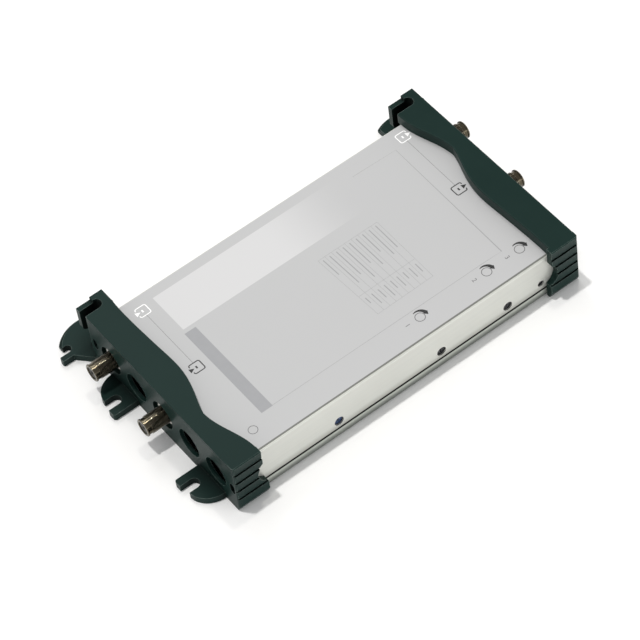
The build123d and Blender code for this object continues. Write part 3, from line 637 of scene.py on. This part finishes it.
def portSigns():
    whites, blacks, lines = [], [], []
    for place, turn in zip(signLook["whites"], (-1, 1)):
        whites += portSign(place, turn)
    for place, turn in zip(signLook["blacks"], (-1, 1)):
        blacks += portSign(place, turn)
    for white, black in zip(signLook["whites"], signLook["blacks"]):
        half = signLook["half"]
        lines.append(stripAlong([(white[0], white[1] - half), (black[0], black[1] + half)], printLook["line"]))
    printMesh("portSignsWhite", *joined(whites), inkWhite)
    printMesh("portSignsBlack", *joined(blacks), inkBlack)
    printMesh("portLinks", *joined(lines), inkGrey)


def borderAndBar():
    printMesh("labelBorder", *stripAlong(list(borderLook["path"]), printLook["line"]), inkPale)
    printMesh("plainBar", [(x, y, labelTop) for x, y in borderLook["bar"]], [(0, 3, 2, 1)], inkPlate)


numeralLook = {"size": 3.6, "drop": 7.6}


def presetNumerals():
    # Plain numbers beside the three preset rings; they read from the left end
    for number, place in enumerate(ringLook["places"], start=1):
        curve = bpy.data.curves.new("presetNumeral" + str(number), "FONT")
        curve.body = str(number)
        curve.size = numeralLook["size"] * mm
        curve.extrude = printLook["ink"] / 2 * mm
        curve.align_x = "CENTER"
        curve.align_y = "CENTER"
        piece = bpy.data.objects.new("presetNumeral" + str(number), curve)
        piece.location = Vector((place[0] - numeralLook["drop"], place[1], labelTop - printLook["ink"] / 2)) * mm
        piece.rotation_euler = (0, 0, math.radians(-90))
        bpy.context.scene.collection.objects.link(piece)
        curve.materials.append(inkGrey)
        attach(piece, "case")


portSigns()
borderAndBar()
presetNumerals()
print("label printed")


socketLook = {"pitch": 0.794, "depth": 0.42, "crestShare": 0.36, "rootShare": 0.14, "columns": 72, "rowsPerTurn": 12,
              "threadStart": 101.05, "threadEnd": 110.95, "runOut": 0.35, "outer": 4.763, "neck": 4.313,
              "rimStart": 113.1, "rimRound": 0.1, "chamfer": 0.3, "boreChamfer": 0.15, "bore": 3.5, "boreDepth": 10.4,
              "step": 0.05, "inner": 97.0, "portHeight": 15.7, "blockRound": 0.4, "sharpAngle": 38}


def threadRadius(x, turnShare):
    # Flat crest, sloping flanks and a narrow flat root, faded out at both ends of the thread
    look = socketLook
    phase = (x / look["pitch"] - turnShare) % 1.0
    flank = (1 - look["crestShare"] - look["rootShare"]) / 2
    if phase < look["crestShare"]:
        fall = 0.0
    elif phase < look["crestShare"] + flank:
        fall = (phase - look["crestShare"]) / flank
    elif phase < 1 - flank:
        fall = 1.0
    else:
        fall = (1 - phase) / flank
    ease = min(1.0, (x - look["threadStart"]) / look["runOut"], (look["threadEnd"] - x) / look["runOut"])
    return look["outer"] - look["depth"] * fall * max(0.0, ease)


def shellRows():
    # Pairs of distance from the middle and radius; None marks a threaded row
    look = socketLook
    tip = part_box("right_middle_socket_shell")[1].x / mm
    rows = [(look["inner"], look["bore"]), (look["inner"], look["outer"])]
    count = int((look["threadEnd"] - look["threadStart"]) / look["pitch"] * look["rowsPerTurn"])
    for i in range(count + 1):
        rows.append((look["threadStart"] + (look["threadEnd"] - look["threadStart"]) * i / count, None))
    rows += [(look["threadEnd"] + look["step"], look["neck"]), (look["rimStart"] - look["step"], look["neck"]),
             (look["rimStart"], look["outer"] - look["rimRound"]),
             (look["rimStart"] + look["rimRound"], look["outer"]),
             (tip - look["chamfer"], look["outer"]), (tip, look["outer"] - look["chamfer"]),
             (tip, look["bore"] + look["boreChamfer"]), (tip - look["boreChamfer"], look["bore"]),
             (tip - look["boreDepth"], look["bore"])]
    return rows


def socketShell(name, sign):
    # The threaded barrel, and behind it the block that holds it on the board
    low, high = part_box(name)
    centreY = (low.y + high.y) / 2 / mm
    centreZ = socketLook["portHeight"]
    rows, columns = shellRows(), socketLook["columns"]
    verts, faces = [], []
    for distance, radius in rows:
        for j in range(columns):
            angle = 2 * math.pi * j / columns
            r = threadRadius(distance, j / columns) if radius is None else radius
            verts.append((sign * distance, centreY + r * math.cos(angle), centreZ + r * math.sin(angle)))
    for i in range(len(rows)):
        nextRow = (i + 1) % len(rows)
        for j in range(columns):
            k = (j + 1) % columns
            face = (i * columns + j, i * columns + k, nextRow * columns + k, nextRow * columns + j)
            faces.append(face if sign > 0 else face[::-1])
    piece = addMesh(name + "Threaded", verts, faces, shadedSocketNickel)
    mesh = bmesh.new()
    mesh.from_mesh(piece.data)
    block = bmesh.ops.create_cube(mesh, size=1.0)["verts"]
    inner, end = low.x if sign > 0 else high.x, sign * socketLook["inner"] * mm
    size = Vector((abs(end - inner), high.y - low.y, high.z - low.z))
    middle = Vector(((end + inner) / 2, (low.y + high.y) / 2, (low.z + high.z) / 2))
    bmesh.ops.transform(mesh, matrix=Matrix.Translation(middle) @ Matrix.Diagonal((*size, 1)), verts=block)
    edges = {edge for vert in block for edge in vert.link_edges}
    bmesh.ops.bevel(mesh, geom=list(edges), offset=socketLook["blockRound"] * mm, segments=2, affect="EDGES")
    mesh.to_mesh(piece.data)
    mesh.free()
    for face in piece.data.polygons:
        face.use_smooth = True
    piece.data.set_sharp_from_angle(angle=math.radians(socketLook["sharpAngle"]))
    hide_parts(name)


for sideName, sign in (("left", -1), ("right", 1)):
    for portName in ("middle", "back"):
        socketShell(sideName + "_" + portName + "_socket_shell", sign)
print("sockets threaded")


stageLook = {"floor": (253, 253, 253), "floorSize": 12.0, "drop": 0.00005, "roughness": 0.9}


def makeStage():
    mesh = bpy.data.meshes.new("floor")
    half = stageLook["floorSize"] / 2
    mesh.from_pydata([(-half, -half, 0), (half, -half, 0), (half, half, 0), (-half, half, 0)], [], [(0, 1, 2, 3)])
    floor = bpy.data.objects.new("floor", mesh)
    floor.location.z = cadBox[0][2] - stageLook["drop"]
    bpy.context.scene.collection.objects.link(floor)
    material, tree, bsdf = newMaterial("paleFloor")
    bsdf.inputs["Base Color"].default_value = linear(*stageLook["floor"])
    bsdf.inputs["Roughness"].default_value = stageLook["roughness"]
    bsdf.inputs["Specular IOR Level"].default_value = 0.0
    mesh.materials.append(material)


makeStage()

worldLook = {"low": 1.0, "high": 0.48, "from": 0.1, "to": 0.6}


def makeWorld():
    # White studio walls that darken upward, so that tops stay deep and low views have a white ground
    world = bpy.data.worlds.new("studio")
    bpy.context.scene.world = world
    world.use_nodes = True
    tree = world.node_tree
    parts = tree.nodes.new("ShaderNodeSeparateXYZ")
    link(tree, tree.nodes.new("ShaderNodeTexCoord").outputs["Generated"], parts.inputs[0])
    fall = tree.nodes.new("ShaderNodeMapRange")
    fall.interpolation_type = "SMOOTHSTEP"
    for key, value in (("From Min", worldLook["from"]), ("From Max", worldLook["to"]),
                       ("To Min", worldLook["low"]), ("To Max", worldLook["high"])):
        fall.inputs[key].default_value = value
    link(tree, parts.outputs["Z"], fall.inputs["Value"])
    tree.nodes["Background"].inputs["Color"].default_value = (1, 1, 1, 1)
    link(tree, fall.outputs["Result"], tree.nodes["Background"].inputs["Strength"])


makeWorld()

lampAim = Vector((0, 0, 0.01))
sunLook = {"from": (-0.11, 0.145, 1.0), "angle": 2.6, "strength": 1.28, "colour": (1.0, 0.99, 0.97)}
lampLooks = {  # the streak on the sockets, the sheen on the film and the light on the front wall
    "streakLamp": {"place": (0.386, 0.26, 1.936), "size": (0.12, 0.12), "power": 4.0, "colour": (1.0, 0.97, 0.9)},
    "sheenPanel": {"place": (0.2, 0.9, 1.25), "size": (0.45, 0.45), "power": 3.0, "colour": (1.0, 1.0, 1.0)},
    "frontPanel": {"place": (0.5, -1.4, 0.5), "size": (1.2, 0.5), "power": 3.0, "colour": (1.0, 1.0, 0.99)},
}


def aimLamp(name, data, place):
    lamp = bpy.data.objects.new(name, data)
    lamp.location = place
    lamp.rotation_euler = (lampAim - lamp.location).to_track_quat("-Z", "Y").to_euler()
    bpy.context.scene.collection.objects.link(lamp)


def addLamp(name, look):
    data = bpy.data.lights.new(name, "AREA")
    data.shape = "RECTANGLE"
    data.size, data.size_y = look["size"]
    data.energy = look["power"]
    data.color = look["colour"]
    aimLamp(name, data, look["place"])


def addSun():
    data = bpy.data.lights.new("overheadLight", "SUN")
    data.energy = sunLook["strength"]
    data.angle = math.radians(sunLook["angle"])
    data.color = sunLook["colour"]
    aimLamp("overheadLight", data, sunLook["from"])


addSun()
for lampName, look in lampLooks.items():
    addLamp(lampName, look)

cameraLook = {"place": (-476.262, -807.044, 1199.984), "turn": (37.64253, 5.66821, -37.34954), "lens": 177.2708,
              "sensor": 36.0, "clip": (0.05, 50.0)}


def addCamera():
    data = bpy.data.cameras.new("photoCamera")
    data.sensor_width = cameraLook["sensor"]
    data.lens = cameraLook["lens"]
    data.clip_start, data.clip_end = cameraLook["clip"]
    camera = bpy.data.objects.new("photoCamera", data)
    camera.location = Vector(cameraLook["place"]) * mm
    camera.rotation_euler = [math.radians(a) for a in cameraLook["turn"]]
    bpy.context.scene.collection.objects.link(camera)
    bpy.context.scene.camera = camera


addCamera()
bpy.context.scene.view_settings.view_transform = "Standard"
print("stage, lights and camera ready")
